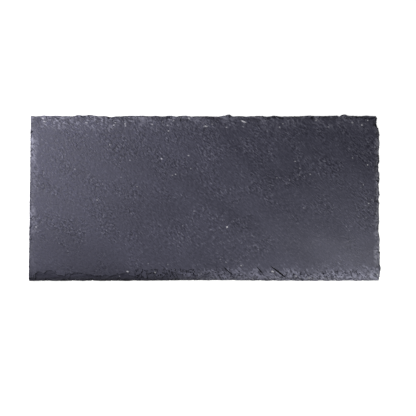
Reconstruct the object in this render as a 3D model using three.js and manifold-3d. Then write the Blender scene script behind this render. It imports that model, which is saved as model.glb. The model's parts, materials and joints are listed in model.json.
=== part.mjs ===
// A slate slab: one sheet of slate, split along its beds and trimmed to a rectangle by flaking its edges.
// Millimetres. The underside lies on z = 0, +X runs along the length, +Y towards the back edge,
// and +Z points up out of the riven face. The origin is under the middle of the slab.

import * as THREE from 'three';
import { mergeVertices } from 'three/addons/utils/BufferGeometryUtils.js';
import { ImprovedNoise } from 'three/addons/math/ImprovedNoise.js';
import Module from 'manifold-3d';

const wasm = await Module();
wasm.setup();

// Driving dimensions
const LENGTH = 300;
const WIDTH = 140.6;
const THICKNESS = 6;
const GRAIN_ANGLE = THREE.MathUtils.degToRad(-42);

// Colour and finish of the dry stone
const SLATE_COLOUR = 0x484854;
const SLATE_ROUGHNESS = 0.55;

// The riven face: two beds, each with long low swells and finer ripples that follow the grain
const BED_STEP = 0.25;
const BED_RUN_OUT = [-60, 40];
const SWELL_HEIGHT = 0.32;
const SWELL_CONTRAST = 1.6;
const BROAD_SWELL = { long: 52, short: 17, share: 0.65, layer: 0 };
const FINE_RIPPLE = { long: 17, short: 7, share: 0.35, layer: 2.3 };
const NOISE_LAYER = { upper: 0.37, lower: 5.81 };
const SHEET_CELL = 9;
const SHEET_SPARE = 6;

// Ledges where the upper bed ends, from left to right
const FRONT_LEDGE = [
  [-62, 17], [-50, 12], [-20, 8], [-5, -7], [20, -22],
  [36, -27], [52, -35], [82, -35], [114, -33], [160, -30],
];
const BACK_LEDGE = [
  [6, 80], [18, 48], [31, 36], [44, 33], [61, 31], [78, 31], [85, 23], [125, 27], [160, 33],
];
const LEDGE_POINTS = 24;

// The trimmed edges. A span is measured along an edge from its middle, towards +X or +Y.
// Lean is how far the edge stands in at its far end.
// A nib stands out from the edge, or in where its rise is below zero.
// Flakes of each size give their spacing, their reach over the face,
// the height of the lip where they end, and their drop at the rim.
const EDGES = {
  front: {
    runs: 'x', side: -1, span: [-149.8, 149], across: WIDTH / 2, lean: 0, seed: 100,
    rough: 0.16, ripple: 5,
    nibs: [{ at: 5, half: 70, rise: -0.5 }],
    flakes: [
      { seed: 0, pitch: 9, reach: [4, 10], lip: [0.15, 0.6], drop: [0.8, 1.9] },
      { seed: 3000, pitch: 5, reach: [2, 5], lip: [0.35, 0.95], drop: [1.4, 3.2] },
    ],
  },
  right: {
    runs: 'y', side: 1, span: [-69.2, 68.6], across: LENGTH / 2 - 0.4, lean: 0.6, seed: 300,
    rough: 0.55, ripple: 4,
    nibs: [
      { at: 66, half: 8.5, rise: -2 }, { at: -57, half: 14, rise: 0.9 }, { at: -70, half: 3, rise: -0.9 },
    ],
    flakes: [
      { seed: 0, pitch: 8, reach: [2.4, 4.6], lip: [0.3, 0.7], drop: [1, 2.2] },
      { seed: 3000, pitch: 4.6, reach: [1.3, 2.8], lip: [0.5, 1.2], drop: [1.8, 3.8] },
    ],
  },
  back: {
    runs: 'x', side: 1, span: [-148.3, 146.4], across: WIDTH / 2, lean: 0, seed: 500,
    rough: 0.5, ripple: 6,
    nibs: [
      { at: 21, half: 4, rise: 1.3 }, { at: 120, half: 5, rise: 1.3 }, { at: 115.4, half: 2, rise: -0.8 },
      { at: -82, half: 6, rise: -0.9 }, { at: -98, half: 3.5, rise: 0.6 }, { at: -108, half: 4, rise: 0.6 },
    ],
    flakes: [
      { seed: 0, pitch: 10, reach: [3, 8], lip: [0.08, 0.35], drop: [0.4, 1.1] },
      { seed: 3000, pitch: 6, reach: [1.4, 3.6], lip: [0.2, 0.6], drop: [0.9, 2.2] },
    ],
  },
  left: {
    runs: 'y', side: -1, span: [-70, 70], across: LENGTH / 2, lean: 1.6, seed: 700,
    rough: 0.12, ripple: 9,
    nibs: [],
    flakes: [
      { seed: 0, pitch: 16, reach: [3.6, 5.4], lip: [0.05, 0.2], drop: [0.7, 1.2] },
      { seed: 3000, pitch: 9, reach: [1, 2.2], lip: [0.1, 0.3], drop: [0.9, 1.7] },
    ],
  },
};
const OUTLINE_STEP = 3.4;

// Flakes come off as jagged plates. Width is a share of their spacing.
// Each flake draws its chances from numbers of its own, a stride apart.
const FLAKE_WIDTH = [1, 1.9];
const FLAKE_JITTER = 0.6;
const FLAKE_YAW = 0.45;
const SEED_STRIDE = 10;
const PLATE_CORNERS = 7;
const PLATE_JAG = 0.34;
const PLATE_HEIGHT = 8;

// Broad flakes at the left end of the front margin
const BROAD_FLAKES = [
  { seed: 32, at: [-134, -70.5], width: 32, reach: 10, lip: 0.9, drop: 2.5 },
  { seed: 38, at: [-103, -70.5], width: 38, reach: 9, lip: 0.9, drop: 2.5 },
  { seed: 34, at: [-70, -70.5], width: 34, reach: 8, lip: 0.8, drop: 2.2 },
];

// Cracks along the grain at the front margin, each with a sliver lost on its lower side
const CRACKS = [
  { seed: 51, start: [44.2, -57.8], end: [50.2, -64.6], width: 1.2, depth: 1.9 },
  { seed: 61, start: [55.4, -56.6], end: [70.6, -68.4], width: 1.8, depth: 2.6 },
  { seed: 71, start: [15.4, -58], end: [24.2, -65.2], width: 1.1, depth: 2 },
];
const CRACK_SIDE = 2.8;
const CRACK_SIDE_DEPTH = 0.8;
const CRACK_LIP = 0.12;

// Small spalls along the lower rim, with width as a share of their height
const SPALLS = { seed: 900, pitch: 21, reach: [1, 2.6], height: [0.8, 2], width: 5 };

const MERGE_DISTANCE = 1e-4;

// A value from 0 to 1 that looks random and is the same on every run
function chance(n) {
  const wave = Math.sin(n * 12.9898 + 4.1414) * 43758.5453;
  return wave - Math.floor(wave);
}

function between([low, high], n) {
  return low + (high - low) * chance(n);
}

// Smooth wandering between -1 and 1 along a line
function wander(distance, seed) {
  const step = Math.floor(distance);
  const blend = THREE.MathUtils.smoothstep(distance - step, 0, 1);
  return THREE.MathUtils.lerp(chance(seed + step), chance(seed + step + 1), blend) * 2 - 1;
}

// A closed three.js geometry as a solid that can be joined and cut
function solid(geometry) {
  const bare = geometry.clone();
  bare.deleteAttribute('normal');
  bare.deleteAttribute('uv');
  const merged = mergeVertices(bare, MERGE_DISTANCE);
  const vertProperties = new Float32Array(merged.attributes.position.array);
  const triVerts = new Uint32Array(merged.index.array);
  return new wasm.Manifold(new wasm.Mesh({ numProp: 3, vertProperties, triVerts }));
}

// A finished solid as a three.js geometry
function toGeometry(body) {
  const mesh = body.getMesh();
  const geometry = new THREE.BufferGeometry();
  geometry.setAttribute('position', new THREE.BufferAttribute(new Float32Array(mesh.vertProperties), 3));
  geometry.setIndex(new THREE.BufferAttribute(new Uint32Array(mesh.triVerts), 1));
  return geometry;
}

const noise = new ImprovedNoise();

// How far the swells and ripples of a bed lie below its highest level, as a height from -SWELL_HEIGHT to 0
function swell(x, y, bedLayer) {
  const along = x * Math.cos(GRAIN_ANGLE) + y * Math.sin(GRAIN_ANGLE);
  const over = y * Math.cos(GRAIN_ANGLE) - x * Math.sin(GRAIN_ANGLE);
  let mix = 0;
  for (const { long, short, share, layer } of [BROAD_SWELL, FINE_RIPPLE]) {
    mix += share * noise.noise(along / long, over / short, bedLayer + layer);
  }
  return SWELL_HEIGHT * (THREE.MathUtils.clamp(SWELL_CONTRAST * mix, -1, 1) - 1) / 2;
}

// One split sheet, larger than the slab all round and below
function splitSheet(topAt) {
  const length = LENGTH + 2 * SHEET_SPARE;
  const width = WIDTH + 2 * SHEET_SPARE;
  const cells = [Math.round(length / SHEET_CELL), Math.round(width / SHEET_CELL)];
  const sheet = new THREE.BoxGeometry(length, width, 2 * THICKNESS, ...cells, 1);
  const places = sheet.attributes.position;
  for (let i = 0; i < places.count; i += 1) {
    if (places.getZ(i) > 0) {
      places.setZ(i, topAt(places.getX(i), places.getY(i)));
    }
  }
  return solid(sheet);
}

// A prism over the area between a ledge and the slab's front or back edge
function areaBeyond(ledge, side) {
  const curve = new THREE.SplineCurve(ledge.map(([x, y]) => new THREE.Vector2(x, y)));
  const shape = new THREE.Shape(curve.getPoints(LEDGE_POINTS));
  const first = ledge[0];
  const last = ledge[ledge.length - 1];
  shape.lineTo(last[0], side * WIDTH);
  shape.lineTo(first[0], side * WIDTH);
  shape.closePath();
  return solid(new THREE.ExtrudeGeometry(shape, { depth: 2 * THICKNESS, bevelEnabled: false }));
}

// Two beds: the upper one has split away beyond the ledges, where the lower one shows.
// Towards the left the lower one rises to the upper one, so the ledges run out.
function rivenSheet() {
  const upperBed = splitSheet((x, y) => THICKNESS + swell(x, y, NOISE_LAYER.upper));
  const lowerBed = splitSheet((x, y) => {
    const step = BED_STEP * THREE.MathUtils.smoothstep(x, ...BED_RUN_OUT);
    return THICKNESS - step + swell(x, y, NOISE_LAYER.lower);
  });
  return upperBed
    .subtract(areaBeyond(FRONT_LEDGE, -1).subtract(lowerBed))
    .subtract(areaBeyond(BACK_LEDGE, 1).subtract(lowerBed));
}

// A point on a trimmed edge, at a distance along it from its middle
function rimPoint(edge, along) {
  const [start, stop] = edge.span;
  let outward = edge.rough * wander(along / edge.ripple, edge.seed);
  outward -= edge.lean * (along / (stop - start) + 0.5);
  for (const nib of edge.nibs) {
    const fall = Math.min(Math.abs(along - nib.at) / nib.half, 1);
    outward += nib.rise * (1 - THREE.MathUtils.smoothstep(fall, 0, 1));
  }
  const across = edge.side * (edge.across + outward);
  return edge.runs === 'x' ? new THREE.Vector2(along, across) : new THREE.Vector2(across, along);
}

function rimPoints(edge) {
  const [start, stop] = edge.span;
  const count = Math.round((stop - start) / OUTLINE_STEP);
  return Array.from({ length: count + 1 }, (_, i) => (
    rimPoint(edge, THREE.MathUtils.lerp(start, stop, i / count))
  ));
}

// The trimmed outline, right through the sheet
function trimmedOutline() {
  const outline = new THREE.Shape([
    ...rimPoints(EDGES.front),
    ...rimPoints(EDGES.right),
    ...rimPoints(EDGES.back).reverse(),
    ...rimPoints(EDGES.left).reverse(),
  ]);
  return solid(new THREE.ExtrudeGeometry(outline, { depth: 2 * THICKNESS, bevelEnabled: false }));
}

// The angle that turns +Y to point inwards from an edge
function inwardTurn(edge) {
  if (edge.runs === 'x') {
    return edge.side < 0 ? 0 : Math.PI;
  }
  return edge.side > 0 ? Math.PI / 2 : -Math.PI / 2;
}

// A jagged upright plate over the origin, whose floor rises by a slope towards +Y
function plate({ seed, width, reach, slope }) {
  const corners = Array.from({ length: PLATE_CORNERS }, (_, k) => {
    const angle = (2 * Math.PI * k) / PLATE_CORNERS;
    const radius = 1 - PLATE_JAG * chance(seed + k);
    return new THREE.Vector2(radius * Math.cos(angle) * (width / 2), radius * Math.sin(angle) * reach);
  });
  const shape = new THREE.Shape(corners);
  const body = new THREE.ExtrudeGeometry(shape, { depth: PLATE_HEIGHT, bevelEnabled: false });
  return body.applyMatrix4(new THREE.Matrix4().makeShear(0, 0, 0, slope, 0, 0));
}

// The flakes of one size along the upper rim of an edge
function rimFlakes(edge, { seed, pitch, reach, lip, drop }) {
  const [start, stop] = edge.span;
  const count = Math.round((stop - start) / pitch);
  return Array.from({ length: count }, (_, i) => {
    const n = edge.seed + seed + SEED_STRIDE * i;
    const along = start + (i + 0.5 + FLAKE_JITTER * (chance(n + 1) - 0.5)) * pitch;
    const length = between(reach, n + 2);
    const depth = between(drop, n + 4);
    const slope = (depth - between(lip, n + 3)) / length;
    const flake = plate({ seed: n, width: pitch * between(FLAKE_WIDTH, n + 5), reach: length, slope });
    flake.rotateZ(inwardTurn(edge) + FLAKE_YAW * (2 * chance(n + 6) - 1));
    const rim = rimPoint(edge, along);
    flake.translate(rim.x, rim.y, THICKNESS - depth);
    return solid(flake);
  });
}

function broadFlake({ seed, at, width, reach, lip, drop }) {
  const flake = plate({ seed, width, reach, slope: (drop - lip) / reach });
  flake.translate(at[0], at[1], THICKNESS - drop);
  return solid(flake);
}

// One crack and the sliver lost beside it
function crack({ seed, start, end, width, depth }) {
  const line = new THREE.Vector2(...end).sub(new THREE.Vector2(...start));
  const middle = new THREE.Vector2(...start).addScaledVector(line, 0.5);
  const slit = plate({ seed, width: line.length(), reach: width / 2, slope: 0 });
  const slope = CRACK_SIDE_DEPTH / CRACK_SIDE;
  const sliver = plate({ seed, width: line.length(), reach: CRACK_SIDE, slope });
  slit.translate(0, 0, THICKNESS - depth);
  sliver.translate(0, 0, THICKNESS - CRACK_LIP);
  return [slit, sliver].map((shape) => (
    solid(shape.rotateZ(line.angle()).translate(middle.x, middle.y, 0))
  ));
}

// The small spalls along the lower rim of one edge, cut from below
function spalls(edge) {
  const [start, stop] = edge.span;
  const count = Math.floor((stop - start) / SPALLS.pitch);
  return Array.from({ length: count }, (_, i) => {
    const n = edge.seed + SPALLS.seed + SEED_STRIDE * i;
    const along = start + (i + 0.5 + FLAKE_JITTER * (chance(n + 1) - 0.5)) * SPALLS.pitch;
    const reach = between(SPALLS.reach, n + 2);
    const height = between(SPALLS.height, n + 3);
    const spall = plate({ seed: n, width: SPALLS.width * height, reach, slope: height / reach });
    spall.rotateY(Math.PI);
    spall.rotateZ(inwardTurn(edge));
    const rim = rimPoint(edge, along);
    spall.translate(rim.x, rim.y, height);
    return solid(spall);
  });
}

// The whole slab, in one piece, with its origin under the middle
function slabGeometry() {
  const edges = Object.values(EDGES);
  const scars = [
    ...edges.flatMap((edge) => edge.flakes.flatMap((flakes) => rimFlakes(edge, flakes))),
    ...edges.flatMap(spalls),
    ...BROAD_FLAKES.map(broadFlake),
    ...CRACKS.flatMap(crack),
  ];
  const trimmed = rivenSheet().intersect(trimmedOutline());
  const geometry = toGeometry(scars.reduce((body, scar) => body.subtract(scar), trimmed));
  geometry.computeBoundingBox();
  const middle = geometry.boundingBox.getCenter(new THREE.Vector3());
  geometry.translate(-middle.x, -middle.y, 0);
  return geometry;
}

const slate = new THREE.MeshStandardMaterial({
  color: SLATE_COLOUR, roughness: SLATE_ROUGHNESS, metalness: 0, flatShading: true,
});
const slab = new THREE.Mesh(slabGeometry(), slate);
slab.name = 'slab';

const part = new THREE.Group();
part.add(slab);

export default part;
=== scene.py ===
import json
import math
from dataclasses import dataclass

import bpy
from bpy.props import FloatProperty, FloatVectorProperty, IntProperty, PointerProperty
from mathutils import Euler, Matrix, Vector

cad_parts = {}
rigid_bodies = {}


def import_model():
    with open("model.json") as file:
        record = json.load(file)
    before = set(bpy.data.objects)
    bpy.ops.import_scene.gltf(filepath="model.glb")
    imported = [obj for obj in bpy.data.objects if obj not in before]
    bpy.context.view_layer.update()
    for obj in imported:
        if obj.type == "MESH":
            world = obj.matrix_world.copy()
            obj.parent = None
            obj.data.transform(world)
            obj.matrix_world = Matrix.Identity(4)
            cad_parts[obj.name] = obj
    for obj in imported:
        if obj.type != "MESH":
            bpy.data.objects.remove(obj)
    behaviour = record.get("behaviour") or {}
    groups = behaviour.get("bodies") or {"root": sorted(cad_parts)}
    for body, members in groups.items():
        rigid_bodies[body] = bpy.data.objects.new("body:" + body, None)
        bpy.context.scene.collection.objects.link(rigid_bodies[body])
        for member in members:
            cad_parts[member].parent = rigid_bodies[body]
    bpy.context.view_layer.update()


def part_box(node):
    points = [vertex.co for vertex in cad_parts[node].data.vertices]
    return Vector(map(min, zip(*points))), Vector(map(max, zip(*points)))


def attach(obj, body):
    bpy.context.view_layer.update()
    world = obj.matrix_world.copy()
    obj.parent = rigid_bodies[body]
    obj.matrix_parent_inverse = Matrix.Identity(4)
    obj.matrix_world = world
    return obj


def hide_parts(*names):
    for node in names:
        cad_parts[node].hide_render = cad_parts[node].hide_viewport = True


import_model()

bl_info = {
    "name": "Slate Slab",
    "version": (1, 0, 0),
    "blender": (4, 5, 0),
    "location": "View3D > Sidebar > Slate",
    "description": "Models a split and trimmed slate slab with its riven face, flaked edges and finish",
    "category": "Add Mesh",
}

MM = 0.001
SLAB_LOW, SLAB_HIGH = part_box("slab")

# The slab's own values, in millimetres, shared with the solid that it stands for
LENGTH = 300
WIDTH = 140.6
GRAIN_ANGLE = math.radians(-42)

# Ledges where the upper bed ends, from left to right
FRONT_LEDGE = (
    (-62, 17), (-50, 12), (-20, 8), (-5, -7), (20, -22),
    (36, -27), (52, -35), (82, -35), (114, -33), (160, -30),
)
BACK_LEDGE = (
    (6, 80), (18, 48), (31, 36), (44, 33), (61, 31), (78, 31), (85, 23), (125, 27), (160, 33),
)
BED_RUN_OUT = (-60, 40)
LEDGE_SLOPE = 9

# Wobbles along a ledge: length, height and seed
LEDGE_WOBBLES = ((11.0, 2.4, 41), (3.1, 1.0, 67))


@dataclass(frozen=True)
class Tier:
    """Flakes of one size along an edge, in millimetres."""

    pitch: float
    reach: tuple
    lip: tuple
    drop: tuple


@dataclass(frozen=True)
class Edge:
    """One trimmed edge, in millimetres, measured along the edge from its middle."""

    runs: str
    side: int
    span: tuple
    across: float
    lean: float
    seed: int
    rough: float
    ripple: float
    ragged: float
    nibs: tuple
    large: Tier
    medium: Tier
    small: Tier

    @property
    def turn(self):
        """Angle that turns the Y axis to point inwards from this edge."""
        if self.runs == "x":
            return 0 if self.side < 0 else math.pi
        return math.pi / 2 if self.side > 0 else -math.pi / 2


# Lean is how far an edge stands in at its far end, and rough and ripple are the height and length
# of its waves. Ragged is the share of the beds' unevenness that its wall takes.
# A nib is its place along the edge, its half width and how far it stands out.
FRONT = Edge(
    runs="x", side=-1, span=(-149.8, 149.0), across=WIDTH / 2, lean=0, seed=100,
    rough=0.16, ripple=5, ragged=0.5,
    nibs=((5, 70, -0.5),),
    large=Tier(pitch=9.0, reach=(4, 10), lip=(0.15, 0.6), drop=(0.8, 1.9)),
    medium=Tier(pitch=5.0, reach=(2.0, 5.0), lip=(0.35, 0.95), drop=(1.4, 3.2)),
    small=Tier(pitch=2.6, reach=(0.6, 2.0), lip=(0.5, 1.4), drop=(1.8, 4.2)),
)
RIGHT = Edge(
    runs="y", side=1, span=(-69.2, 68.6), across=LENGTH / 2 - 0.4, lean=0.6, seed=300,
    rough=0.55, ripple=4, ragged=1.0,
    nibs=((66, 8.5, -2), (-57, 14, 0.9), (-70, 3, -0.9)),
    large=Tier(pitch=8.0, reach=(2.4, 4.6), lip=(0.3, 0.7), drop=(1.0, 2.2)),
    medium=Tier(pitch=4.6, reach=(1.3, 2.8), lip=(0.5, 1.2), drop=(1.8, 3.8)),
    small=Tier(pitch=2.8, reach=(0.5, 1.3), lip=(0.5, 1.2), drop=(1.4, 3.4)),
)
BACK = Edge(
    runs="x", side=1, span=(-148.3, 146.4), across=WIDTH / 2, lean=0, seed=500,
    rough=0.5, ripple=6, ragged=0.8,
    nibs=(
        (21, 4, 1.3), (120, 5, 1.3), (115.4, 2, -0.8),
        (-82, 6, -0.9), (-98, 3.5, 0.6), (-108, 4, 0.6),
    ),
    large=Tier(pitch=10.0, reach=(3, 8), lip=(0.08, 0.35), drop=(0.4, 1.1)),
    medium=Tier(pitch=6.0, reach=(1.4, 3.6), lip=(0.2, 0.6), drop=(0.9, 2.2)),
    small=Tier(pitch=3.0, reach=(0.5, 1.5), lip=(0.3, 0.9), drop=(1.2, 3.4)),
)
LEFT = Edge(
    runs="y", side=-1, span=(-70, 70), across=LENGTH / 2, lean=1.6, seed=700,
    rough=0.12, ripple=9, ragged=0.3,
    nibs=(),
    large=Tier(pitch=16.0, reach=(3.6, 5.4), lip=(0.05, 0.2), drop=(0.7, 1.2)),
    medium=Tier(pitch=9.0, reach=(1.0, 2.2), lip=(0.1, 0.3), drop=(0.9, 1.7)),
    small=Tier(pitch=3.0, reach=(0.5, 0.8), lip=(0.5, 0.8), drop=(1.4, 2.2)),
)
EDGES = (FRONT, RIGHT, BACK, LEFT)

# Flakes: width as a share of their spacing, and how far they stray along the edge and turn on it
FLAKE_WIDTH = (1.0, 1.9)
FLAKE_JITTER = 0.6
FLAKE_YAW = 0.45
FLAKE_HEIGHT = 8
FLAKE_JAG = 0.34
FLAKE_FLARE = 1.07

# Broad flakes at the left end of the front margin: middle, width, reach, lip and drop
BROAD_FLAKES = (
    ((-134, -70.5), 32, 10.0, 0.40, 2.5),
    ((-103, -70.5), 38, 9.0, 0.45, 2.5),
    ((-70, -70.5), 34, 8.0, 0.35, 2.2),
)

# Cracks along the grain at the front margin: start, end, width and depth
CRACKS = (
    ((44.2, -57.8), (50.2, -64.6), 1.2, 1.9),
    ((55.4, -56.6), (70.6, -68.4), 1.8, 2.6),
    ((15.4, -58.0), (24.2, -65.2), 1.1, 2.0),
)
CRACK_SIDE = 2.8
CRACK_SIDE_DEPTH = 0.8
CRACK_LIP = 0.12


@dataclass(frozen=True)
class Chips:
    """Small chips scattered over the margin of an edge, in millimetres."""

    edge: Edge
    span: tuple
    inset: tuple
    depth: tuple
    count: int
    fall: float
    yaw: float
    seed: int


# Chips lie along the grain, give or take their yaw.
# Each margin falls away to its rim by about the given fall.
CHIPS = (
    Chips(
        FRONT, span=(-60, 147), inset=(0.5, 9.5), depth=(0.4, 1.2),
        count=440, fall=1.2, yaw=1.0, seed=10000,
    ),
    Chips(
        FRONT, span=(-148, -60), inset=(0.5, 8.0), depth=(0.3, 0.8),
        count=50, fall=1.4, yaw=0.5, seed=14000,
    ),
    Chips(
        BACK, span=(-147, 146), inset=(2.0, 9.0), depth=(0.1, 0.35),
        count=90, fall=0.5, yaw=0.5, seed=16000,
    ),
    Chips(
        RIGHT, span=(-68, 68), inset=(0.5, 4.0), depth=(0.3, 0.8),
        count=80, fall=1.0, yaw=0.8, seed=19000,
    ),
    Chips(
        LEFT, span=(-69, 69), inset=(1.2, 5.0), depth=(0.1, 0.3),
        count=24, fall=0.7, yaw=0.5, seed=22000,
    ),
)
CHIP_LENGTH = (1.4, 3.8)
CHIP_REACH = (0.45, 1.1)

# Small spalls along the lower rim, with width as a share of their height
SPALL_PITCH = 21
SPALL_REACH = (1, 2.6)
SPALL_HEIGHT = (0.8, 2.0)
SPALL_WIDTH = 5

# Each repeated shape draws its chances from numbers of its own, a stride apart
SEED_STRIDE = 10
LARGE_SEED = 0
MEDIUM_SEED = 3000
SMALL_SEED = 6000
SPALL_SEED = 900


@dataclass(frozen=True)
class Plates:
    """Jagged plates that cut out flakes of one size: seeds, corners, and cuts across each floor."""

    seeds: tuple
    corners: int
    cuts: int


LARGE_PLATES = Plates(seeds=(11, 53, 97, 141), corners=24, cuts=2)
MEDIUM_PLATES = Plates(seeds=(211, 253, 297, 341), corners=15, cuts=1)
SMALL_PLATES = Plates(seeds=(411, 453, 497, 541, 583), corners=9, cuts=0)
SLIT_PLATES = Plates(seeds=(611, 653, 697), corners=12, cuts=0)

# Relief of the riven face, the underside, the walls and the flake scars, in millimetres.
# A size runs along the grain, across it and upwards.
SHEET_SPARE = 6
SWELL_SIZE = (52, 17, 17)
GRAIN_SIZE = (6.5, 2.6, 2.6)
FACE_BED_HEIGHT = 0.14
FACE_BED_DIP = 160
FACE_BED_STEP = 0.07
FACE_BED_WOBBLE = 6
UNDERSIDE_SIZE = (34, 13, 13)
UNDERSIDE_SWELL = 0.22
WALL_SPARE = 1.5
WALL_BED_SIZE = (7, 7, 0.8)
WALL_BED_DEPTH = 1.0
WALL_BED_LEVEL = 0.2
WALL_LUMP_SIZE = (2.6, 2.6, 1.3)
WALL_LUMP_DEPTH = 0.4
SCAR_LUMP_SIZE = (3.4, 2.0, 2.0)
SCAR_LUMP_DEPTH = 0.6
FINE_LUMP_DEPTH = 0.4
LUMP_LEVEL = 0.5
SMOOTH_ANGLE = math.radians(35)


@dataclass(frozen=True)
class Lamp:
    """A square soft lamp that points at the middle of the slab, in metres."""

    name: str
    place: tuple
    size: float
    tint: tuple


KEY_LAMP = Lamp("key lamp", place=(-0.24, 0.08, 0.21), size=0.25, tint=(0.96, 0.945, 1.0))
FILL_LAMP = Lamp("fill lamp", place=(0.16, -0.14, 0.11), size=0.16, tint=(1.0, 1.0, 0.96))

# The floor and the camera's stand, in metres, and the camera's sensor, in millimetres
FLOOR_SIZE = 6
CAMERA_STAND = (0.0027, -0.0088)
SENSOR_WIDTH = 36


# Seeded chance and curves

def chance(n):
    """A value from 0 to 1 that looks random and is the same on every run."""
    wave = math.sin(n * 12.9898 + 4.1414) * 43758.5453
    return wave - math.floor(wave)


def between(limits, n):
    low, high = limits
    return low + (high - low) * chance(n)


def smoothstep(value, low, high):
    share = min(max((value - low) / (high - low), 0), 1)
    return share * share * (3 - 2 * share)


def wander(distance, seed):
    """Smooth wandering between -1 and 1 along a line."""
    step = math.floor(distance)
    blend = smoothstep(distance - step, 0, 1)
    return 2 * (chance(seed + step) * (1 - blend) + chance(seed + step + 1) * blend) - 1


def along_line(points, x):
    """Height of a broken line at x."""
    for (x0, y0), (x1, y1) in zip(points, points[1:]):
        if x <= x1:
            return y0 + (y1 - y0) * (x - x0) / (x1 - x0)
    return points[-1][1]


def rim_point(edge, along):
    """A point on a trimmed edge, in millimetres."""
    outward = edge.rough * wander(along / edge.ripple, edge.seed)
    outward -= edge.lean * (along / (edge.span[1] - edge.span[0]) + 0.5)
    for at, half, rise in edge.nibs:
        fall = min(abs(along - at) / half, 1)
        outward += rise * (1 - smoothstep(fall, 0, 1))
    across = edge.side * (edge.across + outward)
    return (along, across) if edge.runs == "x" else (across, along)


def rim_points(edge, step):
    start, stop = edge.span
    count = round((stop - start) / step)
    return [rim_point(edge, start + (stop - start) * i / count) for i in range(count + 1)]


# Properties

class SlabSizes(bpy.types.PropertyGroup):
    """Sizes of the slab and its relief."""

    thickness: FloatProperty(
        name="Thickness", description="Height of the highest part of the riven face",
        default=0.006, min=0.003, max=0.02, unit="LENGTH",
    )
    bed_step: FloatProperty(
        name="Bed step", description="Height of the ledges where the upper bed ends",
        default=0.00025, min=0, max=0.002, unit="LENGTH",
    )
    swell: FloatProperty(
        name="Swell", description="Height of the long swells on the riven face",
        default=0.00032, min=0, max=0.002, unit="LENGTH",
    )
    grain: FloatProperty(
        name="Grain", description="Height of the fine scaly grain on the riven face",
        default=0.00007, min=0, max=0.001, unit="LENGTH",
    )
    face_cell: FloatProperty(
        name="Face cell", description="Spacing of the mesh over the riven face",
        default=0.00115, min=0.0005, max=0.005, unit="LENGTH",
    )
    under_cell: FloatProperty(
        name="Underside cell", description="Spacing of the mesh over the underside",
        default=0.003, min=0.001, max=0.01, unit="LENGTH",
    )
    rim_cell: FloatProperty(
        name="Rim cell", description="Spacing of the mesh along the trimmed edges",
        default=0.001, min=0.0005, max=0.005, unit="LENGTH",
    )
    wall_rows: IntProperty(
        name="Wall rows", description="Rows of faces up the trimmed edges",
        default=18, min=2, max=40,
    )


class SlabColours(bpy.types.PropertyGroup):
    """Colours of the stone, in linear light."""

    deep: FloatVectorProperty(
        name="Deep slate", description="Darkest tone of the stone",
        subtype="COLOR", default=(0.009, 0.009, 0.021), min=0, max=1,
    )
    slate: FloatVectorProperty(
        name="Slate", description="Main tone of the riven face",
        subtype="COLOR", default=(0.059, 0.059, 0.090), min=0, max=1,
    )
    # Pale tone of raised scales and crushed margins, and also of the painted glints and the broad
    # painted light
    worn_and_sheen: FloatVectorProperty(
        name="Worn slate", description="Tone of the raised scales",
        subtype="COLOR", default=(0.18, 0.18, 0.225), min=0, max=1,
    )
    broken: FloatVectorProperty(
        name="Broken slate", description="Main tone of the flake scars and edges",
        subtype="COLOR", default=(0.048, 0.048, 0.070), min=0, max=1,
    )
    # Paler fresh stone of the hackly facets, which also carries their painted light
    fresh: FloatVectorProperty(
        name="Fresh slate", description="Palest facets of the hackly margin",
        subtype="COLOR", default=(0.180, 0.180, 0.240), min=0, max=1,
    )
    # Painted shade: near black inside the cracks and along the front rim
    crack: FloatVectorProperty(
        name="Crack", description="Dark inside of the cracks",
        subtype="COLOR", default=(0.0025, 0.0025, 0.0055), min=0, max=1,
    )
    fleck: FloatVectorProperty(
        name="Fleck", description="Pale flecks of fresh stone",
        subtype="COLOR", default=(0.60, 0.60, 0.62), min=0, max=1,
    )


class StageSettings(bpy.types.PropertyGroup):
    """Camera, lamps and floor."""

    camera_height: FloatProperty(
        name="Camera height", description="Height of the camera over the riven face",
        default=1.1, min=0.3, max=5, unit="LENGTH",
    )
    frame_width: FloatProperty(
        name="Frame width", description="Width of the picture at the riven face",
        default=0.355, min=0.1, max=2, unit="LENGTH",
    )
    key_power: FloatProperty(
        name="Key lamp", description="Power of the soft lamp at the back left",
        default=1.48, min=0, max=500, unit="POWER",
    )
    fill_power: FloatProperty(
        name="Fill lamp", description="Power of the soft lamp at the front right",
        default=0.46, min=0, max=500, unit="POWER",
    )
    world_light: FloatProperty(
        name="Room light", description="Strength of the even light from all round",
        default=0.02, min=0, max=5,
    )
    floor_glow: FloatProperty(
        name="Floor glow", description="Light that the white floor gives off",
        default=0.92, min=0, max=5,
    )


# Modelling helpers

def start_clean():
    """Leaves edit mode and selects nothing."""
    if bpy.context.object and bpy.context.object.mode != "OBJECT":
        bpy.ops.object.mode_set(mode="OBJECT")
    bpy.ops.object.select_all(action="DESELECT")


def make_active(piece):
    start_clean()
    piece.select_set(True)
    bpy.context.view_layer.objects.active = piece


def add_guide(name, size, angle=0.0):
    """An empty whose own space sets the size and turn of a texture, in millimetres."""
    start_clean()
    bpy.ops.object.empty_add(rotation=(0, 0, angle))
    guide = bpy.context.object
    guide.name = name
    guide.scale = Vector(size) * MM
    return guide


def add_cloud(name, depth):
    cloud = bpy.data.textures.new(name, "CLOUDS")
    cloud.noise_scale = 1.0
    cloud.noise_depth = depth
    cloud.noise_basis = "ORIGINAL_PERLIN"
    return cloud


def add_beds(name, wobble):
    """Saw-toothed bands, whose steps part the stone into thin beds."""
    beds = bpy.data.textures.new(name, "WOOD")
    beds.wood_type = "BANDNOISE"
    beds.noise_basis_2 = "SAW"
    beds.noise_scale = 0.25
    beds.turbulence = wobble
    return beds


def add_displace(piece, name, texture, guide, strength, direction, middle=1.0, group=""):
    displace = piece.modifiers.new(name, "DISPLACE")
    displace.texture = texture
    displace.texture_coords = "OBJECT"
    displace.texture_coords_object = guide
    displace.direction = direction
    displace.mid_level = middle
    displace.strength = strength
    displace.vertex_group = group
    return displace


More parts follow.
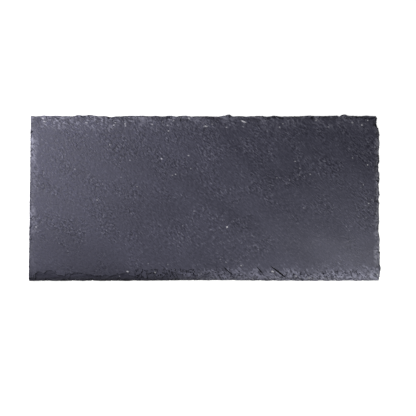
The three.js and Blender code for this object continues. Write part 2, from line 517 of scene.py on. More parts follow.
def apply_modifiers(piece):
    make_active(piece)
    for name in [modifier.name for modifier in piece.modifiers]:
        bpy.ops.object.modifier_apply(modifier=name)


# Riven sheet

# One band of the bed texture, in the texture's own units
BED_PERIOD = 2 * math.pi / 10


def bed_guide(name, height, dip):
    """Guide for a bed texture: one band for each bed height, dipping over a long run."""
    return add_guide(name, (dip / BED_PERIOD, dip / BED_PERIOD, height / BED_PERIOD))


def lower_bed_share(x, y):
    """How far the face has dropped to the lower bed at a point, from 0 to 1."""
    wobble = sum(height * wander(x / length, seed) for length, height, seed in LEDGE_WOBBLES)
    share = 0
    if x > FRONT_LEDGE[0][0]:
        share = smoothstep(along_line(FRONT_LEDGE, x) - y + wobble, 0, LEDGE_SLOPE)
    if x > BACK_LEDGE[0][0]:
        share = max(share, smoothstep(y - along_line(BACK_LEDGE, x) + wobble, 0, LEDGE_SLOPE))
    return share * smoothstep(x, *BED_RUN_OUT)


def add_grid(length, width, cell, height):
    bpy.ops.mesh.primitive_grid_add(
        x_subdivisions=round(length / cell), y_subdivisions=round(width / cell), size=1,
        location=(0, 0, height),
    )
    bpy.ops.transform.resize(value=(length, width, 1))


def riven_sheet(sizes):
    """A split sheet larger than the slab: a dense riven face above a coarser underside."""
    length = (LENGTH + 2 * SHEET_SPARE) * MM
    width = (WIDTH + 2 * SHEET_SPARE) * MM
    start_clean()
    add_grid(length, width, sizes.face_cell, sizes.thickness)
    sheet = bpy.context.object
    sheet.name = "riven_sheet"
    bpy.ops.object.transform_apply(location=True, rotation=True, scale=True)
    bpy.ops.object.mode_set(mode="EDIT")
    bpy.ops.mesh.select_mode(type="VERT")
    bpy.ops.mesh.select_all(action="DESELECT")
    add_grid(length, width, sizes.under_cell, 0)
    bpy.ops.mesh.flip_normals()
    bpy.ops.mesh.select_all(action="DESELECT")
    bpy.ops.mesh.select_non_manifold()
    bpy.ops.mesh.bridge_edge_loops()
    bpy.ops.mesh.select_all(action="SELECT")
    bpy.ops.mesh.normals_make_consistent(inside=False)
    bpy.ops.object.mode_set(mode="OBJECT")

    face = sheet.vertex_groups.new(name="riven face")
    lower = sheet.vertex_groups.new(name="lower bed")
    underside = sheet.vertex_groups.new(name="underside")
    for vertex in sheet.data.vertices:
        if vertex.co.z > sizes.thickness / 2:
            face.add([vertex.index], 1, "REPLACE")
            share = lower_bed_share(vertex.co.x / MM, vertex.co.y / MM)
            lower.add([vertex.index], share, "REPLACE")
        else:
            underside.add([vertex.index], 1, "REPLACE")

    swells = add_cloud("swells", 2)
    add_displace(
        sheet, "swells", swells, add_guide("swell guide", SWELL_SIZE, GRAIN_ANGLE),
        sizes.swell, "Z", group=face.name,
    )
    add_displace(
        sheet, "face beds", add_beds("face beds", FACE_BED_WOBBLE),
        bed_guide("face bed guide", FACE_BED_HEIGHT, FACE_BED_DIP),
        -FACE_BED_STEP * MM, "Z", middle=0, group=face.name,
    )
    add_displace(
        sheet, "scaly grain", add_cloud("scaly grain", 3),
        add_guide("grain guide", GRAIN_SIZE, GRAIN_ANGLE),
        sizes.grain, "Z", group=face.name,
    )
    add_displace(
        sheet, "underside", swells, add_guide("underside guide", UNDERSIDE_SIZE, GRAIN_ANGLE),
        -UNDERSIDE_SWELL * MM, "Z", group=underside.name,
    )
    drop = sheet.modifiers.new("lower bed", "DISPLACE")
    drop.direction = "Z"
    drop.mid_level = 0
    drop.strength = -sizes.bed_step
    drop.vertex_group = lower.name
    apply_modifiers(sheet)
    return sheet


# Trimmed outline

def trimmed_prism(sizes):
    """The trimmed outline as a tall prism, with walls that are ragged along the beds."""
    step = sizes.rim_cell / MM
    runs = [(edge, rim_points(edge, step)) for edge in EDGES]
    outline = []
    ragged = []
    for edge, points in runs:
        ordered = points if edge in (FRONT, RIGHT) else points[::-1]
        outline += ordered
        ragged += [edge.ragged] * len(ordered)
    start_clean()
    bpy.ops.mesh.primitive_circle_add(vertices=len(outline), fill_type="NGON")
    prism = bpy.context.object
    prism.name = "trimmed_prism"
    weight = prism.vertex_groups.new(name="ragged")
    for vertex, (x, y), share in zip(prism.data.vertices, outline, ragged):
        vertex.co = (x * MM, y * MM, -WALL_SPARE * MM)
        weight.add([vertex.index], share, "REPLACE")
    height = sizes.thickness + 2 * WALL_SPARE * MM
    bpy.ops.object.mode_set(mode="EDIT")
    bpy.ops.mesh.select_all(action="SELECT")
    bpy.ops.mesh.extrude_region_move(TRANSFORM_OT_translate={"value": (0, 0, height)})
    bpy.ops.mesh.select_mode(type="EDGE")
    bpy.ops.mesh.select_all(action="DESELECT")
    bpy.ops.object.mode_set(mode="OBJECT")
    for edge in prism.data.edges:
        low, high = (prism.data.vertices[i].co.z for i in edge.vertices)
        edge.select = abs(high - low) > height / 2
    bpy.ops.object.mode_set(mode="EDIT")
    bpy.ops.mesh.subdivide(number_cuts=sizes.wall_rows - 1)
    bpy.ops.mesh.select_all(action="SELECT")
    bpy.ops.mesh.normals_make_consistent(inside=False)
    bpy.ops.object.mode_set(mode="OBJECT")
    add_displace(
        prism, "wall beds", add_cloud("wall beds", 2), add_guide("wall bed guide", WALL_BED_SIZE),
        WALL_BED_DEPTH * MM, "NORMAL", middle=WALL_BED_LEVEL, group=weight.name,
    )
    add_displace(
        prism, "wall lumps", add_cloud("wall lumps", 3), add_guide("wall guide", WALL_LUMP_SIZE),
        WALL_LUMP_DEPTH * MM, "NORMAL", middle=LUMP_LEVEL,
    )
    apply_modifiers(prism)
    return prism


# Flakes, cracks and spalls

def plate_pattern(seed, corners, cuts):
    """A jagged plate of unit size, with its floor at the origin, that cuts one flake out of the rim."""
    start_clean()
    bpy.ops.mesh.primitive_circle_add(vertices=corners, radius=1, fill_type="NGON")
    plate = bpy.context.object
    for vertex in plate.data.vertices:
        vertex.co *= 1 - FLAKE_JAG * chance(seed + vertex.index)
    bpy.ops.object.mode_set(mode="EDIT")
    bpy.ops.mesh.select_mode(type="FACE")
    bpy.ops.mesh.select_all(action="SELECT")
    bpy.ops.mesh.extrude_region_move(TRANSFORM_OT_translate={"value": (0, 0, 1)})
    bpy.ops.transform.resize(value=(FLAKE_FLARE, FLAKE_FLARE, 1))
    bpy.ops.mesh.select_all(action="DESELECT")
    bpy.ops.object.mode_set(mode="OBJECT")
    for polygon in plate.data.polygons:
        polygon.select = polygon.center.z < 0.1
    bpy.ops.object.mode_set(mode="EDIT")
    bpy.ops.mesh.poke()
    if cuts:
        bpy.ops.mesh.subdivide(number_cuts=cuts)
    bpy.ops.mesh.select_all(action="SELECT")
    bpy.ops.mesh.normals_make_consistent(inside=False)
    bpy.ops.object.mode_set(mode="OBJECT")
    return plate


def plate_patterns(plates, material):
    """One pattern for each seed, in the given material."""
    patterns = [plate_pattern(seed, plates.corners, plates.cuts) for seed in plates.seeds]
    for pattern in patterns:
        pattern.data.materials.append(material)
    return patterns


def plate_shape(place, turn, width, reach, slope):
    """Matrix that gives a plate its width and reach, tips its floor up inwards and puts it in place."""
    size = Matrix.Diagonal((width / 2 * MM, reach * MM, FLAKE_HEIGHT * MM, 1))
    tip = Matrix.Identity(4)
    tip[2][1] = slope
    return Matrix.Translation(place) @ turn.to_matrix().to_4x4() @ tip @ size


def rim_flakes(edge, tier, seed, level):
    """Shapes of one tier of flakes along an edge, hanging from that level of the face."""
    start, stop = edge.span
    for i in range(round((stop - start) / tier.pitch)):
        n = edge.seed + seed + SEED_STRIDE * i
        along = start + (i + 0.5 + FLAKE_JITTER * (chance(n + 1) - 0.5)) * tier.pitch
        reach = between(tier.reach, n + 2)
        lip = between(tier.lip, n + 3)
        drop = between(tier.drop, n + 4)
        width = tier.pitch * between(FLAKE_WIDTH, n + 5)
        yaw = edge.turn + FLAKE_YAW * (2 * chance(n + 6) - 1)
        x, y = rim_point(edge, along)
        place = Vector((x, y, level - drop)) * MM
        yield plate_shape(place, Euler((0, 0, yaw)), width, reach, (drop - lip) / reach)


def broad_flakes(level):
    for (x, y), width, reach, lip, drop in BROAD_FLAKES:
        place = Vector((x, y, level - drop)) * MM
        yield plate_shape(place, Euler((0, 0, 0)), width, reach, (drop - lip) / reach)


def chip_shapes(chips, level):
    """Shapes of the chips scattered over one margin, deepest on one of their long sides."""
    edge = chips.edge
    inwards = Vector((-math.sin(edge.turn), math.cos(edge.turn)))
    for i in range(chips.count):
        n = chips.seed + SEED_STRIDE * i
        inset = between(chips.inset, n + 1)
        place = Vector(rim_point(edge, between(chips.span, n + 2))) + inwards * inset
        length = between(CHIP_LENGTH, n + 3)
        reach = between(CHIP_REACH, n + 4)
        depth = between(chips.depth, n + 5)
        yaw = GRAIN_ANGLE + chips.yaw * (2 * chance(n + 6) - 1)
        if chance(n + 7) < 0.5:
            yaw += math.pi
        fall = chips.fall * (1 - inset / chips.inset[1])
        floor = place.to_3d() + Vector((0, 0, level - fall - depth / 2))
        yield plate_shape(floor * MM, Euler((0, 0, yaw)), length, reach, depth / (2 * reach))


def lower_spalls(edge):
    """Shapes of the small spalls along the lower rim of an edge, cut from below."""
    start, stop = edge.span
    for i in range(int((stop - start) / SPALL_PITCH)):
        n = edge.seed + SPALL_SEED + SEED_STRIDE * i
        along = start + (i + 0.5 + FLAKE_JITTER * (chance(n + 1) - 0.5)) * SPALL_PITCH
        reach = between(SPALL_REACH, n + 2)
        height = between(SPALL_HEIGHT, n + 3)
        x, y = rim_point(edge, along)
        place = Vector((x, y, height)) * MM
        turn = Euler((0, math.pi, edge.turn))
        yield plate_shape(place, turn, SPALL_WIDTH * height, reach, height / reach)


def crack_lines(level):
    """Each crack's middle on the face, its turn, length, width and depth."""
    for (x0, y0), (x1, y1), width, depth in CRACKS:
        length = math.hypot(x1 - x0, y1 - y0)
        turn = Euler((0, 0, math.atan2(y1 - y0, x1 - x0)))
        yield Vector(((x0 + x1) / 2, (y0 + y1) / 2, level)), turn, length, width, depth


def crack_shapes(level):
    for middle, turn, length, width, depth in crack_lines(level):
        floor = middle - Vector((0, 0, depth))
        yield plate_shape(floor * MM, turn, length, width / 2, 0)


def crack_side_shapes(level):
    """Shapes of the slivers lost on the lower side of each crack."""
    for middle, turn, length, _, _ in crack_lines(level):
        floor = middle - Vector((0, 0, CRACK_LIP))
        slope = CRACK_SIDE_DEPTH / CRACK_SIDE
        yield plate_shape(floor * MM, turn, length, CRACK_SIDE, slope)


def add_cutters(patterns, shapes, collection, lumps=None):
    """Copies of the patterns in turn, each shaped, put in its place and roughened by the lumps."""
    for i, shape in enumerate(shapes):
        pattern = patterns[i % len(patterns)]
        cutter = pattern.copy()
        cutter.data = pattern.data.copy()
        cutter.data.transform(shape)
        collection.objects.link(cutter)
        if lumps:
            add_displace(cutter, "lumps", *lumps, "NORMAL", LUMP_LEVEL)


def flake_cutters(sizes, broken, crack_shade):
    """All that came off the slab, as one collection of cutting shapes."""
    collection = bpy.data.collections.new("flakes")
    bpy.context.scene.collection.children.link(collection)
    cloud = add_cloud("flake lumps", 3)
    guide = add_guide("flake lump guide", SCAR_LUMP_SIZE, GRAIN_ANGLE)
    rough = (cloud, guide, SCAR_LUMP_DEPTH * MM)
    fine = (cloud, guide, FINE_LUMP_DEPTH * MM)
    large = plate_patterns(LARGE_PLATES, broken)
    medium = plate_patterns(MEDIUM_PLATES, broken)
    small = plate_patterns(SMALL_PLATES, broken)
    # The slits take the crack material, whose near-black colour is painted shade
    slits = plate_patterns(SLIT_PLATES, crack_shade)
    level = sizes.thickness / MM
    for edge in EDGES:
        add_cutters(large, rim_flakes(edge, edge.large, LARGE_SEED, level), collection, rough)
        add_cutters(medium, rim_flakes(edge, edge.medium, MEDIUM_SEED, level), collection, rough)
        add_cutters(small, rim_flakes(edge, edge.small, SMALL_SEED, level), collection, fine)
        add_cutters(small, lower_spalls(edge), collection, fine)
    for chips in CHIPS:
        add_cutters(small, chip_shapes(chips, level), collection, fine)
    add_cutters(large, broad_flakes(level), collection, rough)
    add_cutters(medium, crack_side_shapes(level), collection, fine)
    add_cutters(slits, crack_shapes(level), collection)
    for pattern in large + medium + small + slits:
        bpy.data.objects.remove(pattern)
    return collection


def add_boolean(piece, name, operation, operand=None, collection=None):
    cut = piece.modifiers.new(name, "BOOLEAN")
    cut.operation = operation
    cut.solver = "MANIFOLD"
    cut.material_mode = "TRANSFER"
    if collection:
        cut.operand_type = "COLLECTION"
        cut.collection = collection
    else:
        cut.object = operand


def remove_helpers(flakes):
    """Deletes the texture guides and the cutting shapes."""
    guides = [
        helper for helper in bpy.data.objects
        if helper.type == "EMPTY" and helper.name.endswith("guide")
    ]
    for helper in guides + list(flakes.objects):
        bpy.data.objects.remove(helper)
    bpy.data.collections.remove(flakes)


def keep_main_body(piece):
    """Deletes the crumbs that the flakes cut loose."""
    make_active(piece)
    bpy.ops.object.mode_set(mode="EDIT")
    bpy.ops.mesh.select_mode(type="VERT")
    bpy.ops.mesh.select_all(action="DESELECT")
    bpy.ops.object.mode_set(mode="OBJECT")
    middle = min(piece.data.vertices, key=lambda vertex: vertex.co.xy.length)
    middle.select = True
    bpy.ops.object.mode_set(mode="EDIT")
    bpy.ops.mesh.select_linked()
    bpy.ops.mesh.select_all(action="INVERT")
    bpy.ops.mesh.delete(type="VERT")
    bpy.ops.object.mode_set(mode="OBJECT")


def centre_over_frame(piece):
    """Centres a piece over the middle of the solid that it stands for."""
    xs = [vertex.co.x for vertex in piece.data.vertices]
    ys = [vertex.co.y for vertex in piece.data.vertices]
    middle = (SLAB_LOW + SLAB_HIGH) / 2
    shift = Vector((middle.x - (min(xs) + max(xs)) / 2, middle.y - (min(ys) + max(ys)) / 2, 0))
    piece.data.transform(Matrix.Translation(shift))


# Finish

FACE_ROUGHNESS = (0.54, 0.74)
BROKEN_ROUGHNESS = (0.60, 0.78)
CRACK_ROUGHNESS = 0.9
FLOOR_ROUGHNESS = 0.8
FLOOR_GREY = (0.35, 0.35, 0.35, 1)
WHITE = (1, 1, 1, 1)

# Tones between which the roughness goes from its first value to its second
TONE_SPAN = (0.2, 0.8)

# Heights that the finish adds by bump, in millimetres
FACE_BUMP = 0.35
BROKEN_BUMP = 0.4
BROKEN_BUMP_STRENGTH = 0.9

# Pale specks that stand out: place in millimetres, length along the grain, width and strength
SPECKS = (
    ((19, -25), 1.8, 1.8, 1.0),
    ((33, 65), 6.5, 1.7, 0.8),
    ((1, 61), 3.6, 1.6, 0.6),
    ((134, 62), 1.8, 1.5, 0.8),
    ((139, 66), 1.6, 1.4, 0.7),
    ((139, 28), 1.6, 1.4, 0.6),
    ((126, 34), 1.6, 1.2, 0.4),
    ((140, -5), 1.5, 1.2, 0.5),
    ((77, 31), 2.0, 1.3, 0.4),
    ((90, 20), 1.8, 1.3, 0.4),
    ((-14, 36), 2.4, 1.3, 0.5),
    ((-25, 20), 1.6, 1.3, 0.5),
    ((-12, 25), 1.5, 1.2, 0.4),
    ((-31, 57), 2.0, 1.5, 0.5),
    ((-68, 63), 2.0, 1.6, 0.6),
    ((-92, -2), 1.6, 1.3, 0.5),
    ((-144, -25), 1.6, 1.3, 0.5),
    ((-66, -63), 2.8, 1.6, 0.5),
    ((-137, 65), 3.0, 1.6, 0.4),
    ((-101, 64), 3.0, 1.4, 0.4),
    ((95, 66), 2.6, 1.4, 0.4),
    ((126, 64), 2.4, 1.4, 0.4),
    ((58, -63), 3.6, 1.8, 0.5),
    ((31, -58), 2.0, 1.6, 0.35),
)
SPECK_CORE = 0.35


@dataclass(frozen=True)
class Scatter:
    """Small specks strewn over a part of the face, in millimetres."""

    x: tuple
    y: tuple
    strength: tuple
    count: int
    seed: int


# Most of the small specks lie along the back margin
SCATTERS = (
    Scatter(x=(-145, 145), y=(60, 66), strength=(0.25, 0.5), count=16, seed=30000),
    Scatter(x=(50, 146), y=(-30, 42), strength=(0.12, 0.28), count=6, seed=31000),
    Scatter(x=(-140, -15), y=(-25, 52), strength=(0.12, 0.28), count=6, seed=32000),
    Scatter(x=(-60, 40), y=(-63, -51), strength=(0.12, 0.28), count=4, seed=33000),
)
SCATTER_LENGTH = (1.5, 2.4)
SCATTER_WIDTH = (1.2, 1.5)

# Broad areas of painted shade and painted light on the face, given in the same way as the specks
PAINTED_SHADE_AREAS = (((-105, -52), 150, 62, 0.36), ((96, 6), 140, 42, 0.16))
PAINTED_LIGHT_AREAS = (((104, -44), 160, 50, 0.05),)
AREA_CORE = 0.1

# Specks and areas reach from the upper face down by their depth, and turn half as far as the grain
SPOT_LEVEL = 6
SPOT_DEPTH = 4
SPOT_ANGLE = GRAIN_ANGLE / 2


@dataclass(frozen=True)
class Pattern:
    """A noise along the grain: its size in millimetres, and the span of its values that counts."""

    size: tuple
    detail: float
    rough: float = 0.5
    span: tuple = (0, 1)


PATCHES = Pattern(size=(20, 12, 12), detail=3, rough=0.55, span=(0.40, 0.66))
SCALES = Pattern(size=(2.7, 1.4, 1.4), detail=2, span=(0.3, 0.72))
GLINTS = Pattern(size=(2.5, 1.2, 1.2), detail=1, span=(0.54, 0.80))
CLOUDS = Pattern(size=(58, 24, 24), detail=3, span=(0.32, 0.68))
THIN_BEDS = Pattern(size=(22, 22, 0.5), detail=3, rough=0.6, span=(0.34, 0.66))
WOBBLE = Pattern(size=(9, 9, 9), detail=3)
CRUMBS = Pattern(size=(2.8, 1.6, 1.6), detail=2, rough=0.6)
UNEVEN = Pattern(size=(17, 17, 17), detail=2, span=(0.36, 0.60))


@dataclass(frozen=True)
class Drift:
    """A smooth change: where it starts and ends, in millimetres, and its values there."""

    start: float
    end: float
    low: float = 0.0
    high: float = 1.0


# The grain: how its roughness changes with each metre along X and Y, and its growth to the left. This
# growth towards the back left, with more and paler glints and flecks there, is painted sheen.
# A contrast is its least value and what a rough patch adds to it.
PATCH_SLOPE = (-0.15, 0.9)
GRAIN_LEFTWARDS = Drift(start=60, end=-120, low=1.0, high=1.16)
SCALE_CONTRAST = (0.38, 0.66)
GLINT_CONTRAST = (0.3, 0.7)

# What each part of the grain gives to the tone, the paleness and the height of the riven face
CLOUD_SHARE = 0.22
GLINT_SHARE = 0.62
GLINT_HEIGHT = 0.4
BED_SHARE = 0.5

# Flecks: the cell that one lies in, in metres, the share of cells that have one,
# and its size in its cell. Each draws its radius and strength, from the least upwards.
FACE_FLECKS = {"Cell": 0.006, "Share": 0.3, "Size": 0.09}
BROKEN_FLECKS = {"Cell": 0.003, "Share": 0.2, "Size": 0.3}
FLECK_STRETCH = (1.7, 1, 1)
FLECK_CORE = 0.3
LEAST_RADIUS = 0.35
FLECK_STRENGTH = (0.3, 0.7)
FACE_FLECK_SHARE = 0.7
BROKEN_FLECK_SHARE = 0.6


@dataclass(frozen=True)
class CrushedBand:
    """A pale crushed band: where it rises and falls, in millimetres from the edge, and its crumbs."""

    rise: tuple
    fall: tuple
    crumbs: tuple


BACK_BAND = CrushedBand(rise=(-2.0, 0.5), fall=(3.0, 16.0), crumbs=(0.46, 0.66))
BACK_RIM = CrushedBand(rise=(-4.0, -2.0), fall=(0.8, 3.5), crumbs=(0.30, 0.55))
LEFT_BAND = CrushedBand(rise=(0.0, 1.4), fall=(3.5, 8.5), crumbs=(0.37, 0.60))
RIGHT_BAND = CrushedBand(rise=(-4.0, -2.0), fall=(2.0, 6.0), crumbs=(0.30, 0.55))
BACK_RIM_STRENGTH = 0.85
CRUSHED_SHARE = 0.9
CRUMB_HEIGHT = 0.8
MARGIN_WOBBLE = 9
UNEVEN_STRENGTH = (0.25, 1.15)

# Where the crushed bands are strong: towards the left, towards the back and away from the front
LEFTWARDS = Drift(start=60, end=-90, low=0.6, high=1)
BACKWARDS = Drift(start=-70, end=50, low=0.1, high=1.4)
OFF_FRONT = Drift(start=-66, end=-35, low=0.15, high=1.1)

# The front margin: hackly facets towards the right, partly fresh paler stone and partly painted light
# and shade, and painted shade towards the left and along the rim
HACKLY_RIGHTWARDS = Drift(start=-50, end=30)
HACKLY = Drift(start=17, end=7.5)
FACET_SIZE = (2.6, 1.1, 1.1)
FACET_STRAY = 7
FACET_TONE = (0.2, 1)
FACET_SHARE = 0.8
FACET_HEIGHT = 1.5
# Painted shade of the front margin: darker towards the left, in a band in from the rim and in a
# near-black line at the rim
FRONT_LEFT_SHADE = Drift(start=0, end=-90)
LEAST_RIM_SHADE = 0.45
FRONT_SHADE_BAND = Drift(start=22, end=7, high=0.5)
FRONT_RIM_SHADE = Drift(start=3.2, end=0.9, high=0.5)

# Sockets of a Mix node that blends colours
MIX_SHARE, MIX_FIRST, MIX_SECOND = 0, 6, 7
MIX_RESULT = 2


def new_node(tree, kind, inputs=None, **settings):
    """Adds a node; each input is a value or the socket that feeds it."""
    node = tree.nodes.new(kind)
    for name, value in settings.items():
        setattr(node, name, value)
    for key, value in (inputs or {}).items():
        if isinstance(value, bpy.types.NodeSocket):
            tree.links.new(value, node.inputs[key])
        else:
            node.inputs[key].default_value = value
    return node


def maths(tree, operation, *values):
    return new_node(tree, "ShaderNodeMath", dict(enumerate(values)), operation=operation).outputs[0]


def times(tree, first, second):
    return maths(tree, "MULTIPLY", first, second)


def line(tree, value, start, slope):
    """A start, and on top of it a value times its slope."""
    return maths(tree, "MULTIPLY_ADD", value, slope, start)


def weighted_sum(tree, *parts):
    """Sum of sockets, each with its weight."""
    total = 0.0
    for socket, weight in parts:
        total = line(tree, socket, total, weight)
    return total


def fade(tree, value, start, end, low=0.0, high=1.0):
    """Smooth change from low to high as a value goes from start to end."""
    inputs = {"Value": value, "From Min": start, "From Max": end, "To Min": low, "To Max": high}
    return new_node(tree, "ShaderNodeMapRange", inputs, interpolation_type="SMOOTHSTEP").outputs[0]


def drift(tree, distance, change):
    """A smooth change over a distance on the slab."""
    return fade(tree, distance, change.start * MM, change.end * MM, change.low, change.high)


def blend(tree, share, first, second):
    """Colour that goes from the first to the second."""
    inputs = {MIX_SHARE: share}
    for socket, colour in ((MIX_FIRST, first), (MIX_SECOND, second)):
        linked = isinstance(colour, bpy.types.NodeSocket)
        inputs[socket] = colour if linked else (*colour, 1)
    return new_node(tree, "ShaderNodeMix", inputs, data_type="RGBA").outputs[MIX_RESULT]


def own_place(tree):
    """Place on the piece, in its own space."""
    return new_node(tree, "ShaderNodeTexCoord").outputs["Object"]


def stone_space(tree, size):
    """The piece's own space, turned along the grain and measured in the given sizes, in millimetres."""
    inputs = {"Vector": own_place(tree), "Rotation": (0, 0, GRAIN_ANGLE), "Scale": Vector(size) * MM}
    return new_node(tree, "ShaderNodeMapping", inputs, vector_type="TEXTURE").outputs[0]


def noise(tree, pattern):
    inputs = {
        "Vector": stone_space(tree, pattern.size), "Scale": 1,
        "Detail": pattern.detail, "Roughness": pattern.rough,
    }
    return new_node(tree, "ShaderNodeTexNoise", inputs).outputs[0]


def pattern_mask(tree, pattern):
    """The noise of a pattern, spread from 0 to 1 over the span that counts."""
    return fade(tree, noise(tree, pattern), *pattern.span)


def new_group(name, inputs, outputs):
    """A node group and its two end nodes; a label that ends in Colour makes a colour socket."""
    tree = bpy.data.node_groups.new(name, "ShaderNodeTree")
    for labels, way in ((inputs, "INPUT"), (outputs, "OUTPUT")):
        for label in labels:
            kind = "NodeSocketColor" if label.endswith("Colour") else "NodeSocketFloat"
            tree.interface.new_socket(label, in_out=way, socket_type=kind)
    return tree, tree.nodes.new("NodeGroupInput"), tree.nodes.new("NodeGroupOutput")


def put_out(tree, result, sockets):
    """Links each socket to the group's output of that label."""
    for label, socket in sockets.items():
        tree.links.new(socket, result.inputs[label])


def grain_group():
    """Fine scales along the grain, stronger in rough patches, with glints and broad clouds; the glints
    are partly paler scales and partly painted glints, and their growth towards the back left is painted
    sheen.
    """
    tree, _, result = new_group("slate grain", (), ("Scales", "Glints", "Clouds", "Patches"))
    x, y, _ = new_node(tree, "ShaderNodeSeparateXYZ", {0: own_place(tree)}).outputs
    slope_x, slope_y = PATCH_SLOPE
    roughness = weighted_sum(tree, (noise(tree, PATCHES), 1), (x, slope_x), (y, slope_y))
    patches = fade(tree, roughness, *PATCHES.span)
    contrast = times(tree, line(tree, patches, *SCALE_CONTRAST), drift(tree, x, GRAIN_LEFTWARDS))
    off_middle = maths(tree, "SUBTRACT", pattern_mask(tree, SCALES), 0.5)
    put_out(tree, result, {
        "Scales": maths(tree, "MULTIPLY_ADD", off_middle, contrast, 0.5),
        "Glints": times(tree, pattern_mask(tree, GLINTS), line(tree, patches, *GLINT_CONTRAST)),
        "Clouds": pattern_mask(tree, CLOUDS),
        "Patches": patches,
    })
    return tree


def fleck_group():
    """Scattered flecks, given their cell, the share of cells that have one, and its size in its cell."""
    tree, given, result = new_group("pale flecks", ("Cell", "Share", "Size"), ("Mask",))
    spacing = maths(tree, "DIVIDE", MM, given.outputs["Cell"])
    inputs = {"Vector": stone_space(tree, FLECK_STRETCH), "Scale": spacing}
    cells = new_node(tree, "ShaderNodeTexVoronoi", inputs)
    draws = new_node(tree, "ShaderNodeSeparateColor", {0: cells.outputs["Color"]}).outputs
    present = maths(tree, "LESS_THAN", draws[0], given.outputs["Share"])
    radius = times(tree, given.outputs["Size"], maths(tree, "ADD", draws[1], LEAST_RADIUS))
    dot = fade(tree, cells.outputs["Distance"], radius, times(tree, radius, FLECK_CORE))
    strength = times(tree, present, line(tree, draws[2], *FLECK_STRENGTH))
    put_out(tree, result, {"Mask": times(tree, dot, strength)})
    return tree


def band_mask(tree, distance, band):
    """A mask that goes up from 0 to 1 over a band's rise and down again over its fall."""
    outer, inner = band.fall
    rise = drift(tree, distance, Drift(*band.rise))
    return times(tree, rise, drift(tree, distance, Drift(inner, outer)))


def margin_group(colours):
    """What the trimming did to the stone: pale crushed margins and hackly facets, the facets partly
    painted light and shade, and painted shade along the front margin's left part and its rim.
    """
    tree, given, result = new_group("trimmed margins", ("Colour", "Height"), ("Colour", "Height"))
    x, y, _ = new_node(tree, "ShaderNodeSeparateXYZ", {0: own_place(tree)}).outputs
    wobble = line(tree, noise(tree, WOBBLE), -MARGIN_WOBBLE / 2 * MM, MARGIN_WOBBLE * MM)
    crumbs = noise(tree, CRUMBS)
    uneven = fade(tree, noise(tree, UNEVEN), *UNEVEN.span, *UNEVEN_STRENGTH)

    def inset(socket, side, size, stray=wobble):
        """Distance in from an edge, give or take the stray."""
        return maths(tree, "ADD", line(tree, socket, size / 2 * MM, -side), stray)

    front = inset(y, -1, WIDTH)
    back = inset(y, 1, WIDTH)
    crushed = 0.0
    for distance, band, strength in (
        (back, BACK_BAND, times(tree, uneven, drift(tree, x, LEFTWARDS))),
        (back, BACK_RIM, BACK_RIM_STRENGTH),
        (inset(x, -1, LENGTH), LEFT_BAND, times(tree, uneven, drift(tree, y, BACKWARDS))),
        (inset(x, 1, LENGTH), RIGHT_BAND, drift(tree, y, OFF_FRONT)),
    ):
        crumbled = times(tree, fade(tree, crumbs, *band.crumbs), strength)
        zone = times(tree, band_mask(tree, distance, band), crumbled)
        crushed = maths(tree, "MAXIMUM", crushed, zone)
    colour = blend(tree, times(tree, crushed, CRUSHED_SHARE), given.outputs["Colour"], colours.worn_and_sheen)

    # Hackly facets, pale and dark by turns and more of them towards the right: partly fresh paler stone,
    # partly painted light and shade
    inputs = {"Vector": stone_space(tree, FACET_SIZE), "Scale": 1}
    facets = new_node(tree, "ShaderNodeTexVoronoi", inputs).outputs["Color"]
    draw, stray, _ = new_node(tree, "ShaderNodeSeparateColor", {0: facets}).outputs
    ragged = maths(tree, "MULTIPLY_ADD", stray, FACET_STRAY * MM, front)
    hackly = times(tree, drift(tree, x, HACKLY_RIGHTWARDS), drift(tree, ragged, HACKLY))
    facet_colour = blend(tree, fade(tree, draw, 0, 1, *FACET_TONE), colours.deep, colours.fresh)
    colour = blend(tree, times(tree, hackly, FACET_SHARE), colour, facet_colour)

    # Painted shade: a dark band in from the front rim that grows towards the left, and a near-black line
    # along the front rim
    left_shade = drift(tree, x, FRONT_LEFT_SHADE)
    colour = blend(tree, times(tree, left_shade, drift(tree, ragged, FRONT_SHADE_BAND)), colour, colours.deep)
    rim_shade = drift(tree, inset(y, -1, WIDTH, 0.0), FRONT_RIM_SHADE)
    rim_share = times(tree, maths(tree, "MAXIMUM", left_shade, LEAST_RIM_SHADE), rim_shade)
    colour = blend(tree, rim_share, colour, colours.crack)

    height = line(tree, times(tree, hackly, draw), given.outputs["Height"], FACET_HEIGHT)
    height = line(tree, times(tree, crushed, crumbs), height, CRUMB_HEIGHT)
    put_out(tree, result, {"Colour": colour, "Height": height})
    return tree


def add_spots(tree, spots, core):
    """Spots on the upper face as one mask, each full over its core and fading out to its rim."""
    place = own_place(tree)
    mask = 0.0
    for (x, y), length, width, strength in spots:
        inputs = {
            "Vector": place,
            "Location": Vector((x, y, SPOT_LEVEL)) * MM,
            "Rotation": (0, 0, SPOT_ANGLE),
            "Scale": Vector((length / 2, width / 2, SPOT_DEPTH)) * MM,
        }
        local = new_node(tree, "ShaderNodeMapping", inputs, vector_type="TEXTURE").outputs[0]
        away = new_node(tree, "ShaderNodeVectorMath", {0: local}, operation="LENGTH").outputs["Value"]
        mask = maths(tree, "MAXIMUM", mask, fade(tree, away, 1, core, 0, strength))
    return mask


def strewn_specks():
    """The small specks, each given in the same way as those that stand out."""
    for scatter in SCATTERS:
        for i in range(scatter.count):
            n = scatter.seed + SEED_STRIDE * i
            place = (between(scatter.x, n + 1), between(scatter.y, n + 2))
            length = between(SCATTER_LENGTH, n + 3)
            width = between(SCATTER_WIDTH, n + 4)
            yield place, length, width, between(scatter.strength, n + 5)


def use_group(tree, group, inputs=None):
    return new_node(tree, "ShaderNodeGroup", inputs, node_tree=group).outputs


def new_material(name):
    material = bpy.data.materials.new(name)
    material.use_nodes = True
    return material, material.node_tree, material.node_tree.nodes["Principled BSDF"]


